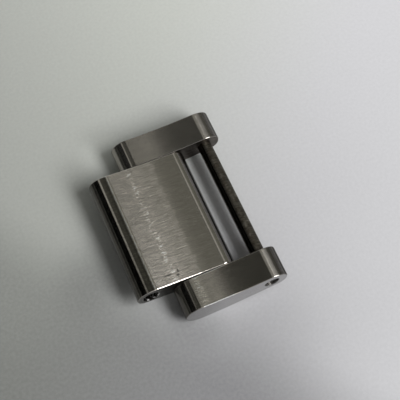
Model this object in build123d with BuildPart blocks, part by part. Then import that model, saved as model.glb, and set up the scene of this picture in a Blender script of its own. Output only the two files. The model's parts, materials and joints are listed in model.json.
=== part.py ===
from build123d import *
import os

# Removable link of a solid three-row watch bracelet, lying on its underside.
# Millimetres and degrees, +Z up. X runs along the bracelet, from the free end of the centre
# link to the screw end of the outer links. Y runs along the pins, and the screw's head is on
# the -Y side. The origin is under the middle of the part, on the surface it lies on.

# Across the bracelet
bracelet_width = 20.0
outer_link_width = 3.25
side_play = 0.05  # between the centre link and each outer link

# Along the bracelet. Every distance is taken from a pin's axis.
half_pitch = 5.85  # pivot pin to link screw, and pivot pin to open bore
axis_depth = 1.60  # pins' axes below the ends of the links' top faces

# Outer links: thick at the pivot pin, with an underside that rises to the screw end
outer_pin_end_reach = 3.52  # past the pivot pin
outer_screw_end_reach = 1.68  # past the link screw
outer_seat_reach = 0.80  # flat seat of the underside, past the pivot pin
outer_seat_blend_radius = 8.0  # where the seat turns into the rise
outer_thickness = 3.60
outer_screw_end_thickness = 2.80
outer_hollow = 0.30  # depth of the shallow hollow along the top
outer_pin_end_top_radius = 1.55
outer_pin_end_bottom_radius = 1.85
outer_screw_end_fall_length = 1.38  # where the top starts to fall to the screw end
outer_screw_end_fall = 0.40
outer_screw_end_blend_radius = 2.10  # between the top and that fall
outer_screw_end_top_radius = 1.20
outer_screw_end_bottom_radius = 1.22

# Centre link: its underside rises to the free end in the same way
centre_free_end_reach = 1.42  # past the open bore
centre_pin_end_reach = 3.29  # past the pivot pin
centre_pin_end_thickness = 3.20
centre_free_end_thickness = 2.80
centre_hollow = 0.22
centre_free_end_fall_length = 1.56  # where the top starts to fall to the free end
centre_free_end_fall = 0.49
centre_free_end_blend_radius = 2.60  # between the top and that fall
centre_free_end_top_radius = 1.35
centre_free_end_bottom_radius = 1.10
centre_pin_end_top_radius = 1.25
centre_pin_end_bottom_radius = 0.90
rest_tilt = 6.0  # degrees that the free end stands above the line of the outer links

# Edges broken all round the side faces of the links, and hole mouths
edge_break = 0.10
bore_chamfer = 0.12
head_hole_chamfer = 0.06

# Pivot pin, pressed into both outer links
pivot_pin_diameter = 1.50
pivot_pin_grip = 2.20  # length held in each outer link
pivot_pin_chamfer = 0.15
pivot_hole_spare = 0.10  # blind hole left over past the pin's end

# Link screw: slotted head end, plain shank, shoulder, thinner threaded tip
screw_shank_diameter = 1.50
screw_thread_diameter = 1.20
screw_thread_length = 1.70
screw_shoulder_depth = 0.60  # shank length seated in the thread-side link
screw_head_recess = 0.25  # head end below the outer face
screw_chamfer = 0.10
slot_width = 0.32
slot_depth = 0.40
slot_turn = 35.0
thread_hole_spare = 0.20

# Clearances
running_clearance = 0.03  # radial, wherever a pin or screw passes through a hole
shoulder_play = 0.02  # between the screw's shoulder and its seat

# Worked out from the sizes above
gap_half_width = bracelet_width / 2 - outer_link_width
outer_face = bracelet_width / 2
centre_link_width = 2 * (gap_half_width - side_play)
pivot_pin_radius = pivot_pin_diameter / 2
pivot_bore_radius = pivot_pin_radius + running_clearance
shank_radius = screw_shank_diameter / 2
shank_hole_radius = shank_radius + running_clearance
thread_radius = screw_thread_diameter / 2
thread_hole_radius = thread_radius + running_clearance
screw_seat = screw_shoulder_depth + shoulder_play
screw_hole_depth = screw_seat + screw_thread_length + thread_hole_spare

# Side outline of an outer link, drawn about the pivot pin's axis. The top dips in the middle,
# and falls away before it rounds over at the screw end.
outer_left = -outer_pin_end_reach
outer_right = half_pitch + outer_screw_end_reach
outer_middle = (outer_left + outer_right) / 2
outer_fall_start = outer_right - outer_screw_end_fall_length
outer_fall_place = (outer_fall_start - outer_middle) / (outer_right - outer_middle)
outer_fall_top = axis_depth - outer_hollow * (1 - outer_fall_place**2)
outer_bottom = axis_depth - outer_thickness
outer_raised_bottom = axis_depth - outer_screw_end_thickness

with BuildSketch() as outer_outline:
    with BuildLine():
        ThreePointArc(
            (outer_left, axis_depth),
            (outer_middle, axis_depth - outer_hollow),
            (outer_fall_start, outer_fall_top),
        )
        Polyline(
            (outer_fall_start, outer_fall_top),
            (outer_right, outer_fall_top - outer_screw_end_fall),
            (outer_right, outer_raised_bottom),
            (outer_seat_reach, outer_bottom),
            (outer_left, outer_bottom),
            (outer_left, axis_depth),
        )
    make_face()
    outer_fall_corner = vertices().sort_by_distance((outer_fall_start, outer_fall_top))[0]
    fillet(outer_fall_corner, radius=outer_screw_end_blend_radius)
    fillet(vertices().group_by(Axis.X)[0].sort_by(Axis.Y)[0], radius=outer_pin_end_bottom_radius)
    fillet(vertices().group_by(Axis.X)[0].sort_by(Axis.Y)[-1], radius=outer_pin_end_top_radius)
    fillet(vertices().group_by(Axis.X)[-1].sort_by(Axis.Y)[0], radius=outer_screw_end_bottom_radius)
    fillet(vertices().group_by(Axis.X)[-1].sort_by(Axis.Y)[-1], radius=outer_screw_end_top_radius)
    fillet(vertices().group_by(Axis.Y)[0].sort_by(Axis.X)[-1], radius=outer_seat_blend_radius)

# Side outline of the centre link, level, drawn about the pivot pin's axis. Its top falls away
# before it rounds over at the free end.
centre_left = -half_pitch - centre_free_end_reach
centre_middle = (centre_left + centre_pin_end_reach) / 2
centre_fall_start = centre_left + centre_free_end_fall_length
centre_fall_place = (centre_fall_start - centre_middle) / (centre_left - centre_middle)
centre_fall_top = axis_depth - centre_hollow * (1 - centre_fall_place**2)

with BuildSketch() as centre_outline:
    with BuildLine():
        ThreePointArc(
            (centre_fall_start, centre_fall_top),
            (centre_middle, axis_depth - centre_hollow),
            (centre_pin_end_reach, axis_depth),
        )
        Polyline(
            (centre_pin_end_reach, axis_depth),
            (centre_pin_end_reach, axis_depth - centre_pin_end_thickness),
            (centre_left, axis_depth - centre_free_end_thickness),
            (centre_left, centre_fall_top - centre_free_end_fall),
            (centre_fall_start, centre_fall_top),
        )
    make_face()
    centre_fall_corner = vertices().sort_by_distance((centre_fall_start, centre_fall_top))[0]
    fillet(centre_fall_corner, radius=centre_free_end_blend_radius)
    fillet(vertices().group_by(Axis.X)[0].sort_by(Axis.Y)[0], radius=centre_free_end_bottom_radius)
    fillet(vertices().group_by(Axis.X)[0].sort_by(Axis.Y)[-1], radius=centre_free_end_top_radius)
    fillet(vertices().group_by(Axis.X)[-1].sort_by(Axis.Y)[0], radius=centre_pin_end_bottom_radius)
    fillet(vertices().group_by(Axis.X)[-1].sort_by(Axis.Y)[-1], radius=centre_pin_end_top_radius)

# The tilted centre link and the outer links share one middle, which is the origin in X
tilted_outline = centre_outline.sketch.rotate(Axis.Z, -rest_tilt)
pivot_x = -(tilted_outline.bounding_box().min.X + outer_right) / 2
pivot_z = -outer_bottom
screw_x = pivot_x + half_pitch

# Side planes look along the pins from the head side, so each one's normal points to -Y
outer_plane = Plane(origin=(pivot_x, 0, pivot_z), x_dir=(1, 0, 0), z_dir=(0, -1, 0))
centre_plane = Plane(
    origin=(pivot_x, 0, pivot_z),
    x_dir=Vector(1, 0, 0).rotate(Axis.Y, rest_tilt),
    z_dir=(0, -1, 0),
)
screw_plane = Plane(origin=(screw_x, 0, pivot_z), x_dir=(1, 0, 0), z_dir=(0, -1, 0))

# Outer link on the head side: the screw passes right through, the pivot hole is blind
with BuildPart() as outer_link_head_side:
    with BuildSketch(outer_plane.offset(gap_half_width)):
        add(outer_outline.sketch)
    extrude(amount=outer_link_width)
    fillet(faces().filter_by(Axis.Y).edges(), radius=edge_break)
    with BuildSketch(outer_plane.offset(gap_half_width)):
        Circle(pivot_pin_radius)
    extrude(amount=pivot_pin_grip + pivot_hole_spare, mode=Mode.SUBTRACT)
    with BuildSketch(screw_plane.offset(gap_half_width)):
        Circle(shank_hole_radius)
    extrude(amount=outer_link_width, mode=Mode.SUBTRACT)
    head_hole_mouth = faces().sort_by(Axis.Y)[0].edges().filter_by(GeomType.CIRCLE)
    chamfer(head_hole_mouth.filter_by(lambda edge: edge.is_closed), length=head_hole_chamfer)

# Outer link on the thread side: a counterbore seats the shank, and the thread hole is blind
with BuildPart() as outer_link_thread_side:
    with BuildSketch(outer_plane.offset(-outer_face)):
        add(outer_outline.sketch)
    extrude(amount=outer_link_width)
    fillet(faces().filter_by(Axis.Y).edges(), radius=edge_break)
    with BuildSketch(outer_plane.offset(-gap_half_width)):
        Circle(pivot_pin_radius)
    extrude(amount=-pivot_pin_grip - pivot_hole_spare, mode=Mode.SUBTRACT)
    with Locations(screw_plane.offset(-gap_half_width)):
        CounterBoreHole(
            radius=thread_hole_radius,
            counter_bore_radius=shank_hole_radius,
            counter_bore_depth=screw_seat,
            depth=screw_hole_depth,
        )

# Centre link: turns on the pivot pin, and its open bore takes the next link's screw
with BuildPart() as centre_link:
    with BuildSketch(centre_plane.offset(-centre_link_width / 2)):
        add(centre_outline.sketch)
    extrude(amount=centre_link_width)
    fillet(faces().filter_by(Axis.Y).edges(), radius=edge_break)
    with BuildSketch(centre_plane.offset(-centre_link_width / 2)):
        Circle(pivot_bore_radius)
        with Locations((-half_pitch, 0)):
            Circle(shank_hole_radius)
    extrude(amount=centre_link_width, mode=Mode.SUBTRACT)
    hole_rims = edges().filter_by(GeomType.CIRCLE).filter_by(lambda edge: edge.is_closed)
    chamfer(hole_rims.group_by(Axis.X)[0], length=bore_chamfer)

# Pivot pin
with BuildPart() as pivot_pin:
    with BuildSketch(outer_plane.offset(-gap_half_width - pivot_pin_grip)):
        Circle(pivot_pin_radius)
    extrude(amount=2 * (gap_half_width + pivot_pin_grip))
    chamfer(edges().filter_by(GeomType.CIRCLE), length=pivot_pin_chamfer)

# Link screw, turned about its axis from the head end to the tip
screw_head_y = screw_head_recess - outer_face
screw_shoulder_y = gap_half_width + screw_shoulder_depth
screw_tip_y = screw_shoulder_y + screw_thread_length

with BuildPart() as link_screw:
    with BuildSketch(Plane(origin=(screw_x, 0, pivot_z), x_dir=(1, 0, 0), z_dir=(0, 0, 1))):
        with BuildLine():
            Polyline(
                (0, screw_head_y),
                (shank_radius - screw_chamfer, screw_head_y),
                (shank_radius, screw_head_y + screw_chamfer),
                (shank_radius, screw_shoulder_y),
                (thread_radius, screw_shoulder_y),
                (thread_radius, screw_tip_y - screw_chamfer),
                (thread_radius - screw_chamfer, screw_tip_y),
                (0, screw_tip_y),
                close=True,
            )
        make_face()
    revolve(axis=Axis((screw_x, 0, pivot_z), (0, 1, 0)))
    with BuildSketch(screw_plane.offset(-screw_head_y)):
        Rectangle(screw_shank_diameter, slot_width, rotation=slot_turn)
    extrude(amount=-slot_depth, mode=Mode.SUBTRACT)

os.makedirs("parts", exist_ok=True)

centre_link.part.label = "centre_link"
export_step(centre_link.part, "parts/centre_link.step")

outer_link_head_side.part.label = "outer_link_head_side"
export_step(outer_link_head_side.part, "parts/outer_link_head_side.step")

outer_link_thread_side.part.label = "outer_link_thread_side"
export_step(outer_link_thread_side.part, "parts/outer_link_thread_side.step")

pivot_pin.part.label = "pivot_pin"
export_step(pivot_pin.part, "parts/pivot_pin.step")

link_screw.part.label = "link_screw"
export_step(link_screw.part, "parts/link_screw.step")

print(f"pivot axis {pivot_x:.4f} {pivot_z:.4f}, screw axis {screw_x:.4f} {pivot_z:.4f}")
print("open bore", centre_plane.from_local_coords((-half_pitch, 0, 0)))
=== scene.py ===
import json
import math
from typing import NamedTuple

import bmesh
import bpy
from mathutils import Matrix, Vector


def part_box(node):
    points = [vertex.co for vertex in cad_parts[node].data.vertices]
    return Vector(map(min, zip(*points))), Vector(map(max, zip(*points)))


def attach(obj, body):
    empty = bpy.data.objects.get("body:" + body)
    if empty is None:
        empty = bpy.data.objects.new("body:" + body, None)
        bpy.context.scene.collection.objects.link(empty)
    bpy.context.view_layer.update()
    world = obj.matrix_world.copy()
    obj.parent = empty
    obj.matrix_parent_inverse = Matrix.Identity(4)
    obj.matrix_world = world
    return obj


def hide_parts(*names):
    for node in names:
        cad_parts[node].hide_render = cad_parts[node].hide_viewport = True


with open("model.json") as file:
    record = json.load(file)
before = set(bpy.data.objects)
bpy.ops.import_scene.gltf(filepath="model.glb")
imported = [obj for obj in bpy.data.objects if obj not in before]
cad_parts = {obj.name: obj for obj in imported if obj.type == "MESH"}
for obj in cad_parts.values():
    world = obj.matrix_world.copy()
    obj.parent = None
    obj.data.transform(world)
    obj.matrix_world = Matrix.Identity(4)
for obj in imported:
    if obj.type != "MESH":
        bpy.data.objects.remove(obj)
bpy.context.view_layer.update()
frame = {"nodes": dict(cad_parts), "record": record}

MM = 0.001

# Camera, at the photograph's angle. Its square frame is 400 x 400.
CAMERA_AZIMUTH = math.radians(-23.822)
CAMERA_ELEVATION = math.radians(66.396)
CAMERA_DISTANCE = 96.499 * MM
CAMERA_TARGET = Vector((3.0958, 1.9304, 0.0)) * MM
CAMERA_LENS = 81.816
SENSOR_WIDTH = 36.0


def named(entries, name):
    """A mount or a joint of the record, by its name"""
    return next(entry for entry in entries if entry["name"] == name)


# Places on the axes of the round holes, which run along Y, and the screw's shank
shank = named(frame["record"]["mounts"], "link_screw_shank")
SCREW_AXIS = Vector(shank["pos_m"])
SHANK_RADIUS = shank["dims"]["r_mm"] * MM
OPEN_BORE = Vector(named(frame["record"]["mounts"], "open_bore")["pos_m"])
PIVOT_AXIS = Vector(named(frame["record"]["behaviour"]["joints"], "centre_link_hinge")["pos_m"])


def add_object(name, data):
    """A new object in the scene"""
    made = bpy.data.objects.new(name, data)
    bpy.context.scene.collection.objects.link(made)
    return made


class Graph:
    """Builds a node tree from plain calls. A value is a number or the output of another node."""

    def __init__(self, owner):
        owner.use_nodes = True
        self.tree = owner.node_tree
        self.tree.nodes.clear()

    def put(self, socket, value):
        if isinstance(value, bpy.types.NodeSocket):
            self.tree.links.new(value, socket)
        else:
            socket.default_value = value

    def node(self, kind, inputs=None, **settings):
        made = self.tree.nodes.new(kind)
        for name, value in settings.items():
            setattr(made, name, value)
        for name, value in (inputs or {}).items():
            self.put(made.inputs[name], value)
        return made

    def math(self, operation, *values):
        return self.node("ShaderNodeMath", dict(enumerate(values)), operation=operation).outputs[0]

    def add(self, first, *others):
        for other in others:
            first = self.math("ADD", first, other)
        return first

    def times(self, first, *others):
        for other in others:
            first = self.math("MULTIPLY", first, other)
        return first

    def inverse(self, value):
        return self.math("SUBTRACT", 1.0, value)

    def distance(self, value, middle):
        return self.math("ABSOLUTE", self.math("SUBTRACT", value, middle))

    def split(self, vector):
        return self.node("ShaderNodeSeparateXYZ", {0: vector}).outputs

    def join(self, x, y, z):
        return self.node("ShaderNodeCombineXYZ", {0: x, 1: y, 2: z}).outputs[0]

    def vectors(self, operation, *values):
        return self.node("ShaderNodeVectorMath", dict(enumerate(values)), operation=operation).outputs

    def scaled(self, colour, factor):
        made = self.node("ShaderNodeVectorMath", {0: colour}, operation="SCALE")
        self.put(made.inputs["Scale"], factor)
        return made.outputs["Vector"]

    def brightened(self, colour, amount):
        return self.vectors("ADD", colour, self.join(amount, amount, amount))["Vector"]

    def remap(self, value, low, high, to_low=0.0, to_high=1.0, smooth=False):
        kind = "SMOOTHSTEP" if smooth else "LINEAR"
        sockets = {"Value": value, "From Min": low, "From Max": high, "To Min": to_low, "To Max": to_high}
        made = self.node("ShaderNodeMapRange", sockets, interpolation_type=kind, clamp=True)
        return made.outputs["Result"]

    def swing(self, noise, reach, spread=0.2):
        """Noise that swings by so much to either side of zero. spread is how far it strays from 0.5."""
        return self.remap(noise, 0.5 - spread, 0.5 + spread, -reach, reach)

    def mix(self, factor, first, second):
        made = self.node("ShaderNodeMix", data_type="RGBA")
        for index, value in ((0, factor), (6, first), (7, second)):
            self.put(made.inputs[index], value)
        return made.outputs[2]

    def noise(self, vector, scale, detail=2.0, roughness=0.5):
        sockets = {"Vector": vector, "Scale": scale, "Detail": detail, "Roughness": roughness}
        return self.node("ShaderNodeTexNoise", sockets).outputs["Fac"]

    def ramp(self, value, stops):
        made = self.node("ShaderNodeValToRGB", {"Fac": value})
        elements = made.color_ramp.elements
        while len(elements) < len(stops):
            elements.new(0.5)
        for element, (place, colour) in zip(elements, stops):
            element.position = place
            element.color = colour
        return made.outputs["Color"]


# Steel finishes. Lengths are in millimetres, and a slope is a part of the surface normal.
class Layer(NamedTuple):
    """One layer of the brushing. pitch and length are shares of the grain's, and relief is the layer's
    share of the relief."""
    pitch: float
    length: float
    detail: float
    seed: float
    relief: float


class Ends(NamedTuple):
    """How much painted shade darkens the ends where they turn down. The right end starts at right_slope,
    with the darkening of right, reaches that of limb, and gains roughness."""
    left: float
    right_slope: float
    right: float
    limb: float
    roughness: float


class Line(NamedTuple):
    """A line along Y with a painted highlight"""
    x: float
    half_width: float
    strength: float


class Span(NamedTuple):
    """A stretch of the broken edges with a painted highlight, along X"""
    start: float
    end: float
    strength: float


class Nick(NamedTuple):
    """A small dark mark"""
    x: float
    y: float
    half_length: float
    half_width: float


# Broad streaks, fine ones, hairs and bright wisps
LAYERS = [
    Layer(2.0, 1.3, 0.6, 3.7, 0.5), Layer(1.0, 0.7, 0.6, 11.3, 0.8), Layer(0.55, 0.35, 1.0, 23.9, 0.6),
    Layer(1.6, 0.8, 1.0, 41.1, 0.2)]
RELIEF_DEPTH = 0.02 * MM

# Slopes over which a face comes to count as each of these. A broken edge has a first and a last stretch.
TOP_SLOPES = (0.4, 0.6)
SIDE_SLOPES = (0.6, 0.8)
EDGE_FIRST_SLOPES = (0.10, 0.35)
EDGE_LAST_SLOPES = (0.985, 0.93)
LEFT_END_SLOPES = (-0.55, -0.85)
LIMB_SLOPES = (0.60, 0.88)
GLINT_FADE = 0.07
RIGHT_END_FADE = 0.22

# Stretches of the noise, which runs from 0 to 1, over which each mark comes in
WISP_NOISE = (0.62, 0.74)
DOT_NOISE = (0.55, 0.66)
DASH_NOISE = (0.56, 0.70)
PATCH_NOISE = (0.40, 0.60)
PATCHY_HIGHLIGHT_NOISE = (0.35, 0.65)
RUST_NOISE = (0.42, 0.68)
GLINT_FLECK_NOISE = (0.545, 0.60)
CLOUDS_PER_MM, RUST_PER_MM, GLINT_FLECKS_PER_MM = 0.5, 2.2, 3.6
RUST = (0.060, 0.040, 0.026, 1)
# Colour of the bright flecks, which are painted glints
GLINT_FLECK = (0.80, 0.79, 0.77, 1)

# What wisps add to the lightness, in parts of the tone. How far the roughness swings, and how much less
# a broken edge has, in parts of the roughness.
WISP_LIGHT = 1.6
ROUGHNESS_SWING = 0.12
EDGE_SMOOTHNESS = 0.35


class SteelGraph(Graph):
    """The nodes of a steel surface. Object coordinates are the part's own metres, so the grain moves
    with its link. sway turns the brushing a little off the line of the bracelet."""

    def __init__(self, material, sway):
        super().__init__(material)
        self.place = self.node("ShaderNodeTexCoord").outputs["Object"]
        self.x, self.y, z = self.split(self.place)
        normal = self.node("ShaderNodeNewGeometry").outputs["Normal"]
        self.lean, side_lean, up = self.split(self.turned(normal, "NORMAL", "WORLD", "OBJECT"))
        facing = self.math("ABSOLUTE", side_lean)
        self.on_top = self.remap(up, *TOP_SLOPES)
        self.on_side = self.remap(facing, *SIDE_SLOPES)
        first, last = self.remap(facing, *EDGE_FIRST_SLOPES), self.remap(facing, *EDGE_LAST_SLOPES)
        self.edge = self.times(first, last)
        off_side = self.inverse(self.on_side)
        swayed = self.times(self.x, sway)
        self.across = self.add(self.times(self.y, off_side), self.times(z, self.on_side), swayed)
        self.along = self.add(self.x, self.times(z, off_side))
        self.tangent = self.turned(self.join(0.0, off_side, self.on_side), "VECTOR", "OBJECT", "WORLD")

    def turned(self, vector, kind, start, end):
        return self.node("ShaderNodeVectorTransform", {0: vector}, vector_type=kind,
                         convert_from=start, convert_to=end).outputs[0]

    def streaks(self, pitch, length, detail, seed):
        """Noise drawn out along the brushing"""
        along = self.times(self.along, 1 / (length * MM))
        across = self.times(self.across, 1 / (pitch * MM))
        return self.noise(self.join(along, across, seed), 1.0, detail=detail, roughness=0.6)

    def waves(self, per_mm, seed):
        """Noise that changes along Y alone"""
        return self.noise(self.join(0.0, self.times(self.y, per_mm / MM), seed), 1.0)

    def smoother(self, start):
        """Depth of the brushing, which is finer to the right of a ragged line"""
        half_width, finer = 0.35, 0.35
        ragged = self.add(self.x, self.swing(self.waves(1.1, seed=2.0), 0.3 * MM))
        return self.remap(ragged, (start - half_width) * MM, (start + half_width) * MM, 1.0, finer)

    def sparkled(self, line):
        """A painted sparkle highlight: a line of bright dots, with fainter dashes beside it"""
        wandering = self.add(self.x, self.swing(self.waves(1.6, seed=5.0), 0.10 * MM))
        beside = self.distance(wandering, line.x * MM)
        width = line.half_width * MM
        dots = self.remap(self.streaks(pitch=0.10, length=0.40, detail=1.0, seed=77.7), *DOT_NOISE)
        patchy = self.remap(self.waves(0.45, seed=9.0), *PATCH_NOISE, 0.35, 1.0)
        middle = self.remap(beside, width, width * 0.4, smooth=True)
        bright = self.times(middle, patchy, dots, line.strength)
        dashes = self.remap(self.streaks(pitch=0.10, length=0.50, detail=1.0, seed=63.1), *DASH_NOISE)
        around = self.remap(beside, width * 3.5, 0.0)
        faint = self.times(around, dashes, line.strength * 0.33)
        return self.times(self.add(bright, faint), self.on_top)

    def highlight_band(self, line):
        """A painted highlight along Y, patchy along its length"""
        crest = self.remap(self.distance(self.x, line.x * MM), line.half_width * MM, 0.0, smooth=True)
        patchy_highlight = self.remap(self.waves(2.6, seed=13.0), *PATCHY_HIGHLIGHT_NOISE, 0.4, 1.0)
        return self.times(crest, patchy_highlight, self.on_top, line.strength)

    def edge_highlighted(self, span):
        """A painted highlight on the broken edges, over a stretch that starts sharply and fades out"""
        sharp, soft = 0.3, 1.2
        begun = self.remap(self.x, (span.start - sharp) * MM, span.start * MM)
        lasting = self.remap(self.x, (span.end + soft) * MM, (span.end - soft) * MM)
        return self.times(self.edge, begun, lasting, span.strength)

    def nicked(self, nick):
        """How much light a nick leaves, 1 outside it. reach is the square of how far a point is from the
        nick's middle, in parts of its half length and half width, and is large off the top."""
        left = 0.22
        reach = self.times(self.inverse(self.on_top), 2.0)
        for value, middle, half in ((self.x, nick.x, nick.half_length), (self.y, nick.y, nick.half_width)):
            share = self.math("MULTIPLY_ADD", value, 1 / (half * MM), -middle / half)
            reach = self.add(reach, self.math("POWER", share, 2.0))
        return self.remap(reach, 0.3, 1.3, left, 1.0)


def steel(name, base, roughness, anisotropy, grain, tone=0.12, bump=0.3, sway=0.0, rust=0.0, glint_flecks=0.0,
          edges=0.12, glint=0.03, grazing=1.0, ends=None, sparkle_line=None, highlight_line=None, edge_highlight=None, nicks=(),
          smooth_from=None):
    """A steel finish. anisotropy is how much the brushing draws out its gleam. grain is the pitch and
    length of the brushing, tone how much that changes the lightness and bump how deep it is. rust is a
    share of brown stain, and glint_flecks a share of bright spots that are painted glints. edges is what
    the broken edges gain in lightness, up to the slope given by glint: a painted highlight, and painted
    shade where it is below zero. grazing is how much of the gleam at a grazing angle is kept. ends
    darkens the ends with painted shade and makes the right end rougher, sparkle_line and highlight_line
    paint highlights along Y, and edge_highlight paints a highlight on a stretch of the broken edges. The
    brushing is finer to the right of smooth_from."""
    material = bpy.data.materials.new(name)
    g = SteelGraph(material, sway)
    pitch, length = grain
    broad, fine, hair, wisps = [
        g.streaks(pitch * layer.pitch, length * layer.length, layer.detail, layer.seed) for layer in LAYERS]
    wisps = g.remap(wisps, *WISP_NOISE)
    clouds = g.noise(g.place, CLOUDS_PER_MM / MM, detail=3.0)
    fine_swing = g.swing(fine, 0.5, spread=0.25)
    swing = g.add(g.swing(broad, 0.5, spread=0.25), fine_swing, g.swing(clouds, 0.15))
    depth = g.smoother(smooth_from) if smooth_from else 1.0

    level = g.math("MULTIPLY_ADD", g.times(swing, depth), tone, 1.0)
    # The broken edges gain edges in lightness: a painted highlight, and painted shade where edges is below
    # zero
    flat = g.remap(g.lean, glint + GLINT_FADE, glint)
    level = g.add(level, g.times(g.edge, flat, edges), g.times(wisps, depth, tone * WISP_LIGHT))
    # A painted line of sparkle highlights along Y
    if sparkle_line:
        level = g.add(level, g.sparkled(sparkle_line))
    # A painted highlight on a stretch of the broken edges
    if edge_highlight:
        level = g.add(level, g.edge_highlighted(edge_highlight))
    # A painted highlight band along Y
    if highlight_line:
        level = g.add(level, g.highlight_band(highlight_line))
    for nick in nicks:
        level = g.times(level, g.nicked(nick))
    # The ends are darkened by slope: painted shade
    if ends:
        right_end = g.remap(g.lean, ends.right_slope, ends.right_slope + RIGHT_END_FADE, smooth=True)
        left_end = g.remap(g.lean, *LEFT_END_SLOPES, smooth=True)
        limb = g.remap(g.lean, *LIMB_SLOPES, ends.right, ends.limb)
        painted_end_shade = g.add(g.times(right_end, limb), g.times(left_end, ends.left))
        level = g.times(level, g.inverse(painted_end_shade))
    colour = g.scaled(base, level)
    if rust:
        stain = g.remap(g.noise(g.place, RUST_PER_MM / MM, detail=4.0, roughness=0.7), *RUST_NOISE)
        colour = g.mix(g.times(stain, rust), colour, RUST)
    # The bright flecks are painted glints
    if glint_flecks:
        glint_specks = g.remap(g.noise(g.place, GLINT_FLECKS_PER_MM / MM), *GLINT_FLECK_NOISE)
        colour = g.mix(g.times(glint_specks, glint_flecks), colour, GLINT_FLECK)

    rough = g.math("MULTIPLY_ADD", fine_swing, ROUGHNESS_SWING * roughness, roughness)
    rough = g.math("SUBTRACT", rough, g.times(g.edge, roughness * EDGE_SMOOTHNESS))
    if ends:
        rough = g.add(rough, g.times(right_end, ends.roughness))
    parts = [g.times(part, layer.relief) for part, layer in zip((broad, fine, hair, wisps), LAYERS)]
    relief = g.times(g.add(*parts), depth)
    bumped = g.node("ShaderNodeBump", {"Strength": bump, "Distance": RELIEF_DEPTH, "Height": relief})
    gleam = (grazing, grazing, grazing, 1.0)
    shader = g.node("ShaderNodeBsdfPrincipled", {
        "Base Color": colour, "Metallic": 1.0, "Roughness": rough, "Anisotropic": anisotropy,
        "Specular Tint": gleam, "Normal": bumped.outputs[0], "Tangent": g.tangent})
    g.node("ShaderNodeOutputMaterial", {"Surface": shader.outputs[0]})
    return material


STEEL = (0.595, 0.56, 0.515)
CENTRE_NICKS = [
    Nick(-3.75, -5.72, 0.50, 0.06), Nick(-2.62, -5.55, 0.09, 0.20), Nick(-2.75, -5.98, 0.15, 0.09)]
brushed = {
    "centre_link": steel(
        "centre_brushed", STEEL, 0.115, 1.0, (0.085, 1.3), tone=0.22, bump=0.30, sway=0.03, edges=0.0,
        glint=0.10, ends=Ends(0.82, 0.40, 0.40, 0.97, 0.0), sparkle_line=Line(-3.15, 0.32, 1.5),
        highlight_line=Line(-5.42, 0.18, 1.4), smooth_from=-0.85, nicks=CENTRE_NICKS),
    "outer_link_head_side": steel(
        "outer_brushed_near", STEEL, 0.159, 1.0, (0.08, 1.4), tone=0.08, bump=0.14, edges=-0.3,
        grazing=0.55, ends=Ends(0.74, 0.0, 0.62, 0.965, 0.05), sparkle_line=Line(-1.35, 0.46, 1.0),
        highlight_line=Line(-1.30, 0.75, 0.55), edge_highlight=Span(-1.5, 1.6, 2.2)),
    "outer_link_thread_side": steel(
        "outer_brushed_far", STEEL, 0.173, 1.0, (0.08, 1.4), tone=0.08, bump=0.16, edges=-0.5, grazing=0.7,
        ends=Ends(0.40, -0.03, 0.50, 0.975, 0.03)),
    "pivot_pin": steel("pin_ground", STEEL, 0.25, 0.5, (0.08, 1.0)),
    "link_screw": steel(
        "screw_dull", (0.125, 0.116, 0.097), 0.20, 0.0, (0.10, 0.4), tone=0.7, bump=0.5, rust=0.6,
        grazing=0.6, ends=Ends(0.0, -0.50, 0.05, 0.0, 0.26)),
}
polished = steel("side_polished", (0.44, 0.435, 0.43), 0.20, 0.0, (0.10, 1.5), tone=0.08, bump=0.08)
# Faces of the outer links that look at the centre link, and the threaded hole: very dark as painted shade
# between the parts and in the hole, with a rust stain
hidden = steel("inside_painted_shade_and_rust", (0.095, 0.085, 0.075), 0.36, 0.3, (0.14, 0.8), tone=0.5, bump=0.6, rust=0.5)
side_finish = {
    # The centre link's sides are very dark: painted shade where they face the outer links, with a rust
    # stain and painted glints
    "centre_link": steel(
        "centre_side", (0.13, 0.125, 0.118), 0.32, 0.0, (0.10, 0.9), tone=0.6, bump=0.5, rust=0.4,
        glint_flecks=0.07),
    "outer_link_head_side": polished,
    "outer_link_thread_side": polished,
}
bore_finish = {
    # The open bore is near black as painted shade inside the hole, with painted glints
    "centre_link": steel(
        "bore_dark", (0.020, 0.018, 0.016), 0.30, 0.0, (0.14, 0.8), tone=0.5, bump=0.6, rust=0.3,
        glint_flecks=1.0),
    "outer_link_head_side": steel(
        "hole_turned", (0.36, 0.355, 0.345), 0.22, 0.0, (0.10, 0.3), tone=0.3, bump=0.4),
    "outer_link_thread_side": hidden,
}

# Each round hole's axis, and a radius just past its chamfer
CHAMFERED_REACH, PLAIN_REACH = 0.95 * MM, 0.85 * MM
HOLES = [(OPEN_BORE, CHAMFERED_REACH), (SCREW_AXIS, PLAIN_REACH), (PIVOT_AXIS, PLAIN_REACH)]
SIDE_NORMAL = 0.9
TOP, SIDE, INSIDE, HOLE = range(4)


def finish_of(name, mesh, polygon):
    """Which finish a face has. TOP also stands for the ends and the underside, and INSIDE for the faces
    of the outer links that look at the centre link."""
    corners = [mesh.vertices[index].co for index in polygon.vertices]
    for axis, reach in HOLES:
        if all(math.hypot(corner.x - axis.x, corner.z - axis.z) < reach for corner in corners):
            return HOLE
    if abs(polygon.normal.y) < SIDE_NORMAL:
        return TOP
    outwards = polygon.normal.y * polygon.center.y > 0
    return SIDE if outwards or name == "centre_link" else INSIDE


for name, node in frame["nodes"].items():
    mesh = node.data
    mesh.materials.clear()
    mesh.materials.append(brushed[name])
    if name in side_finish:
        for finish in (side_finish[name], hidden, bore_finish[name]):
            mesh.materials.append(finish)
        for polygon in mesh.polygons:
            polygon.material_index = finish_of(name, mesh, polygon)

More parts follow.
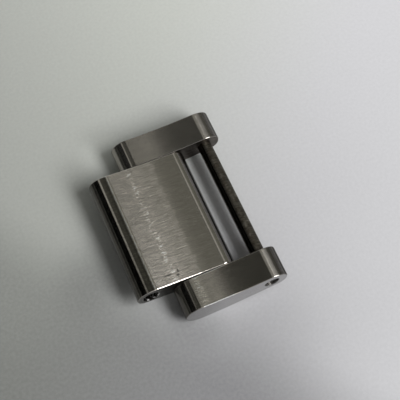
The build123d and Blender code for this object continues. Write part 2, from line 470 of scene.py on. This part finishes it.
# Link screw: slotted head end, plain shank, broken shoulder, and a cut thread with a relief and a lead
head_end, tip_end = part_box("link_screw")
HEAD_Y, SHOULDER_Y, TIP_Y = head_end.y, 7.35 * MM, tip_end.y
HEAD_BREAK, SHOULDER_BREAK, TIP_BREAK = 0.10 * MM, 0.02 * MM, 0.16 * MM
THREAD_RADIUS, THREAD_PITCH, THREAD_DEPTH = 0.60 * MM, 0.25 * MM, 0.13 * MM
THREAD_RUN_IN = 0.20 * MM
RELIEF_MIDDLE, RELIEF_HALF_WIDTH = 0.10 * MM, 0.14 * MM
SLOT_TURN = math.radians(35)
SLOT_LENGTH, SLOT_WIDTH, SLOT_DEPTH = 2.0 * MM, 0.32 * MM, 0.40 * MM
SLIVER = 0.0001 * MM
HEAD_STEPS, SHANK_STEPS, THREAD_STEPS = 6, 60, 82
AROUND = 72
SMOOTH_ANGLE = math.radians(38)
END_NORMAL = 0.95


def screw_radius(y, turn):
    """Radius of the screw at a place along Y and a share of a turn about its axis"""
    if y < SHOULDER_Y:
        at_head = max(0.0, HEAD_BREAK - (y - HEAD_Y))
        at_shoulder = SHOULDER_BREAK if y > SHOULDER_Y - SHOULDER_BREAK / 2 else 0.0
        return SHANK_RADIUS - at_head - at_shoulder
    relief = max(0.0, 1 - abs(y - SHOULDER_Y - RELIEF_MIDDLE) / RELIEF_HALF_WIDTH)
    phase = ((y - SHOULDER_Y) / THREAD_PITCH - turn) % 1.0
    groove = min(1.0, max(0.0, 1.25 - abs(phase - 0.5) * 3.2))
    run_in = min(1.0, (y - SHOULDER_Y) / THREAD_RUN_IN)
    radius = THREAD_RADIUS - THREAD_DEPTH * max(groove * run_in, relief)
    lead = THREAD_RADIUS - TIP_BREAK + (TIP_Y - y)
    return min(radius, lead)


def spaced(start, end, count):
    """Places from start to end, so many steps apart"""
    return [start + (end - start) * k / count for k in range(count + 1)]


def mesh_of(name, bm):
    """A mesh made from bm, which is freed"""
    mesh = bpy.data.meshes.new(name)
    bm.to_mesh(mesh)
    bm.free()
    return mesh


# Close rings at the head's broken edge, wide ones along the shank, two at the shoulder's broken edge, and
# close ones along the thread, the first of which ends the shoulder's flat face
stations = spaced(HEAD_Y, HEAD_Y + 1.2 * HEAD_BREAK, HEAD_STEPS)
stations += spaced(HEAD_Y + 2 * HEAD_BREAK, SHOULDER_Y - 2 * SHOULDER_BREAK, SHANK_STEPS)
stations += [SHOULDER_Y - 0.75 * SHOULDER_BREAK, SHOULDER_Y - SLIVER]
stations += spaced(SHOULDER_Y, TIP_Y, THREAD_STEPS)
bm = bmesh.new()
rings = []
for y in stations:
    ring = []
    for k in range(AROUND):
        radius = screw_radius(y, k / AROUND)
        angle = 2 * math.pi * k / AROUND
        x, z = SCREW_AXIS.x + radius * math.cos(angle), SCREW_AXIS.z + radius * math.sin(angle)
        ring.append(bm.verts.new((x, y, z)))
    rings.append(ring)
for low, high in zip(rings, rings[1:]):
    for k in range(AROUND):
        after = (k + 1) % AROUND
        bm.faces.new((low[k], high[k], high[after], low[after]))
bm.faces.new(rings[0])
bm.faces.new(list(reversed(rings[-1])))
bmesh.ops.recalc_face_normals(bm, faces=bm.faces)
screw_mesh = mesh_of("screw_turned", bm)
screw = add_object("screw_turned", screw_mesh)

bm = bmesh.new()
bmesh.ops.create_cube(bm, size=1.0)
move = Matrix.Translation((SCREW_AXIS.x, HEAD_Y, SCREW_AXIS.z))
turn = Matrix.Rotation(-SLOT_TURN, 4, "Y")
size = Matrix.Diagonal((SLOT_LENGTH, 2 * SLOT_DEPTH, SLOT_WIDTH, 1.0))
bmesh.ops.transform(bm, matrix=move @ turn @ size, verts=bm.verts)
cutter = add_object("slot_cutter", mesh_of("slot_cutter", bm))
cut = screw.modifiers.new("slot", "BOOLEAN")
cut.operation = "DIFFERENCE"
cut.solver = "EXACT"
cut.object = cutter
bpy.context.view_layer.update()
slotted = bpy.data.meshes.new_from_object(screw.evaluated_get(bpy.context.evaluated_depsgraph_get()))
screw.modifiers.clear()
screw.data = slotted
bpy.data.objects.remove(cutter)
bpy.data.meshes.remove(screw_mesh)
slotted.name = "screw_turned"
slotted.materials.clear()
slotted.materials.append(brushed["link_screw"])
# The slotted head is about as dark as the screw's dull shank; this darkness also stands for painted shade
# in the hole it sits in
screw_head = steel("screw_head", (0.12, 0.11, 0.10), 0.30, 0.0, (0.10, 0.3), tone=0.3, bump=0.3)
slotted.materials.append(screw_head)
for polygon in slotted.polygons:
    polygon.use_smooth = abs(polygon.normal.y) < END_NORMAL
    polygon.material_index = 1 if polygon.center.y < HEAD_Y + 1.1 * HEAD_BREAK else 0
slotted.set_sharp_from_angle(angle=SMOOTH_ANGLE)
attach(screw, "screw")
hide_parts("link_screw")

# Floor of pale paper, which curves up into a low wall far away on all sides
FLOOR_RADIUS, COVE, WALL_HEIGHT = 600 * MM, 120 * MM, 260 * MM
COVE_STEPS = 10
FLOOR_SIDES = 96
rings = [(FLOOR_RADIUS - COVE * (1 - math.sin(t)), COVE * (1 - math.cos(t)))
         for t in spaced(0.0, math.pi / 2, COVE_STEPS)]
rings.append((FLOOR_RADIUS, WALL_HEIGHT))
points = [(0, 0, 0)]
faces = []
for radius, height in rings:
    start = len(points)
    for k in range(FLOOR_SIDES):
        angle = 2 * math.pi * k / FLOOR_SIDES
        points.append((radius * math.cos(angle), radius * math.sin(angle), height))
    for k in range(FLOOR_SIDES):
        after = start + (k + 1) % FLOOR_SIDES
        if start == 1:
            faces.append((0, start + k, after))
        else:
            faces.append((start + k - FLOOR_SIDES, start + k, after, after - FLOOR_SIDES))
floor_mesh = bpy.data.meshes.new("floor")
floor_mesh.from_pydata(points, [], faces)
for polygon in floor_mesh.polygons:
    polygon.use_smooth = True
floor = add_object("floor", floor_mesh)


class Patch(NamedTuple):
    """A soft round patch on the paper, of painted light where change is above zero and of painted shade
    where it is below, and its change of lightness
    """
    x: float
    y: float
    radius: float
    change: float


# Patches of painted light and painted shade around the link
PAINTED_LIGHT_PATCHES = [
    Patch(2.0, -14.0, 10.0, -0.15), Patch(-19.0, 1.0, 11.0, 0.14), Patch(16.0, -14.0, 14.0, 0.05),
    Patch(12.0, -27.0, 14.0, 0.16), Patch(-10.5, -1.5, 5.5, -0.24), Patch(-2.5, -10.2, 4.0, -0.20),
    Patch(-4.5, 10.8, 3.5, 0.30)]
# The far paper is darker towards the key: painted shade that evens out the key's light
FAR_PATCH = Patch(205.0, -250.0, 400.0, -0.54)
PAPER_LEFT = (0.977, 1.005, 0.945, 1)
PAPER_RIGHT = (1.0, 0.997, 1.032, 1)
PAPER_ROUGHNESS = 0.9
FIBRE, FIBRES_PER_MM = 0.02, 3.0
# How far the near paper's slope of painted light and the painted shade turn from X towards Y, and how the
# painted light rises along Y
NEAR_SLANT, SHADE_SLANT = 0.08, 0.81
NEAR_RISE, NEAR_LEVEL = 0.0028, 0.997
# (from, to, value there, value here) in millimetres: painted lightness near and far, what the painted shade
# leaves, and what the far paper loses in reflections
NEAR_RAMP = (-30, 36, 0.41, 0.78)
FAR_RAMP = (-160, 140, 0.44, 0.78)
SHADE_RAMP = (-17.9, -6.3, 0.63, 1.0)
LOSS_RAMP = (150, 420, 0.92, 0.55)
TINT_RAMP = (-20, 17)
AWAY_RAMP = (40 * MM, 85 * MM)
# The Y part of the direction in which reflections lose most, and how the loss falls off beside it
LOSS_MIDDLE = 0.40
LOSS_SIDE_RAMP = (0.38, 0.24, 0.35, 1.0)


def paper():
    """Paper with painted light: paler to the right, both near and far, as painted light falloff, under a
    painted soft shade at the front left, and with soft patches of painted light and painted shade. Far
    away it is darker in reflections, most of all a little round from the X axis towards +Y, as a room
    past the sheet would be. Places and distances are in millimetres."""
    material = bpy.data.materials.new("paper")
    g = Graph(material)
    place = g.node("ShaderNodeTexCoord").outputs["Object"]
    x, y = [g.times(part, 1 / MM) for part in g.split(place)[:2]]
    flat = g.join(x, y, 0.0)

    def patched(level, patch):
        apart = g.vectors("DISTANCE", flat, (patch.x, patch.y, 0.0))["Value"]
        return g.math("MULTIPLY_ADD", g.remap(apart, patch.radius, 0.0, smooth=True), patch.change, level)

    # Painted light: the paper is paler towards the light at the right, under a painted soft shade at the
    # front left
    across = g.remap(g.add(x, g.times(y, NEAR_SLANT)), *NEAR_RAMP, smooth=True)
    shade = g.remap(g.add(x, g.times(y, SHADE_SLANT)), *SHADE_RAMP, smooth=True)
    painted_patches = 1.0
    for patch in PAINTED_LIGHT_PATCHES:
        painted_patches = patched(painted_patches, patch)
    near = g.times(across, shade, g.math("MULTIPLY_ADD", y, NEAR_RISE, NEAR_LEVEL), painted_patches)
    far = g.times(g.remap(x, *FAR_RAMP, smooth=True), patched(1.0, FAR_PATCH))

    towards_y = g.split(g.vectors("NORMALIZE", flat)["Vector"])[1]
    facing = g.remap(g.distance(towards_y, LOSS_MIDDLE), *LOSS_SIDE_RAMP, smooth=True)
    reflected = g.node("ShaderNodeLightPath").outputs["Is Glossy Ray"]
    lost = g.times(reflected, facing, g.remap(x, *LOSS_RAMP, smooth=True))
    away = g.remap(g.vectors("LENGTH", place)["Value"], *AWAY_RAMP, smooth=True)
    fibre = g.swing(g.noise(place, FIBRES_PER_MM / MM, detail=3.0), FIBRE)
    level = g.add(g.times(near, g.inverse(away)), g.times(away, far, g.inverse(lost)), fibre)
    tint = g.mix(g.remap(g.math("SUBTRACT", x, y), *TINT_RAMP, smooth=True), PAPER_LEFT, PAPER_RIGHT)
    shader = g.node("ShaderNodeBsdfPrincipled", {
        "Base Color": g.scaled(tint, level), "Roughness": PAPER_ROUGHNESS})
    g.node("ShaderNodeOutputMaterial", {"Surface": shader.outputs[0]})
    return material


floor_mesh.materials.append(paper())

# Studio light: a world of soft bands that run along the pins
STRONG_BAND = 0.3
# Middle and edges of two strips, in degrees
LEFT_STRIP, LEFT_STRIP_EDGES = -17, (10, 7)
GRAIN_STRIP, GRAIN_STRIP_EDGES = 20.6, (1.4, 0.4)
# (from, to, value there, value here) along the Y part of a direction, or in degrees
LEFT_STRIP_LOSS = (0.39, 0.30, 0.0, 0.93)
GRAIN_STRIP_LEVEL = (0.30, 0.10, 0.0, 2.0)
FRONT_FILL, FRONT_FILL_ANGLES = (-0.15, -0.60, 0.0, 0.50), (-40, -10, 0.3, 1.0)
BACK_FILL = (0.58, 0.68, 0.0, 0.24)
# (angle from overhead towards +X in degrees, level) of each band
BANDS = [
    (-110, 0.05), (-96, 0.03), (-89, 0.001), (-78, 0.0005), (-32, 0.0005), (-24, 0.008), (-21, 0.45),
    (-18, 0.45), (-15.5, 0.12), (-9, 0.05), (2, 0.03), (6, 0.024), (9, 0.032), (11.5, 0.035), (12.0, 0.34),
    (12.8, 0.36), (13.3, 0.36), (13.8, 0.115), (16.8, 0.115), (18.9, 0.33), (20.4, 0.34), (20.8, 0.36),
    (21.4, 0.36), (21.8, 0.04), (24, 0.04), (26, 0.33), (29, 0.30), (35, 0.12), (58, 0.14), (84, 0.24),
    (110, 0.12)]
FIRST_ANGLE, LAST_ANGLE = BANDS[0][0], BANDS[-1][0]


def warmed(level):
    """The colour of a band: a weak one is yellower than a strong one"""
    strength = min(level, STRONG_BAND)
    return level * 1.03, level * (1.04 - 0.05 * strength), level * (0.83 + 0.38 * strength), 1


world = bpy.data.worlds.new("studio")
bpy.context.scene.world = world
g = Graph(world)
dx, dy, dz = g.split(g.node("ShaderNodeTexCoord").outputs["Generated"])
angle = g.math("DEGREES", g.math("ARCTAN2", dx, dz))
stops = [((place - FIRST_ANGLE) / (LAST_ANGLE - FIRST_ANGLE), warmed(level)) for place, level in BANDS]
colour = g.ramp(g.remap(angle, FIRST_ANGLE, LAST_ANGLE), stops)
# The strip at the left is bright only well towards +Y
on_strip = g.remap(g.distance(angle, LEFT_STRIP), *LEFT_STRIP_EDGES)
lost = g.times(on_strip, g.remap(dy, *LEFT_STRIP_LOSS, smooth=True))
colour = g.scaled(colour, g.inverse(lost))
# One broad fill stands towards -Y, behind the camera, and a weaker one faces it
front_fill = g.times(g.remap(dy, *FRONT_FILL, smooth=True), g.remap(angle, *FRONT_FILL_ANGLES))
back_fill = g.remap(dy, *BACK_FILL, smooth=True)
colour = g.brightened(colour, g.add(front_fill, back_fill))
# A thin bright strip that only the grain's own slopes catch
on_strip = g.remap(g.distance(angle, GRAIN_STRIP), *GRAIN_STRIP_EDGES)
colour = g.brightened(colour, g.times(on_strip, g.remap(dy, *GRAIN_STRIP_LEVEL)))
background = g.node("ShaderNodeBackground", {"Color": colour, "Strength": 1.0})
g.node("ShaderNodeOutputWorld", {"Surface": background.outputs[0]})

# Key light: one soft rectangle that faces the origin, with its width level along X
KEY_PLACE = Vector((262, -324, 420)) * MM
KEY_WIDTH, KEY_HEIGHT = 200 * MM, 400 * MM
KEY_POWER = 2.98
key_data = bpy.data.lights.new("key", "AREA")
key_data.shape = "RECTANGLE"
key_data.size, key_data.size_y = KEY_WIDTH, KEY_HEIGHT
key_data.energy = KEY_POWER
back = KEY_PLACE.normalized()
across = (Vector((1, 0, 0)) - back * back.x).normalized()
key = add_object("key", key_data)
key.location = KEY_PLACE
key.rotation_mode = "QUATERNION"
key.rotation_quaternion = Matrix((across, back.cross(across), back)).transposed().to_quaternion()

# Camera
back = Vector((math.sin(CAMERA_AZIMUTH) * math.cos(CAMERA_ELEVATION),
               -math.cos(CAMERA_AZIMUTH) * math.cos(CAMERA_ELEVATION), math.sin(CAMERA_ELEVATION)))
camera_data = bpy.data.cameras.new("camera")
camera_data.sensor_width = SENSOR_WIDTH
camera_data.lens = CAMERA_LENS
camera_data.clip_start = 1 * MM
camera_data.clip_end = 10.0
camera = add_object("camera", camera_data)
camera.location = CAMERA_TARGET + back * CAMERA_DISTANCE
camera.rotation_mode = "QUATERNION"
camera.rotation_quaternion = (-back).to_track_quat("-Z", "Y")
bpy.context.scene.camera = camera
bpy.context.scene.view_settings.view_transform = "Standard"
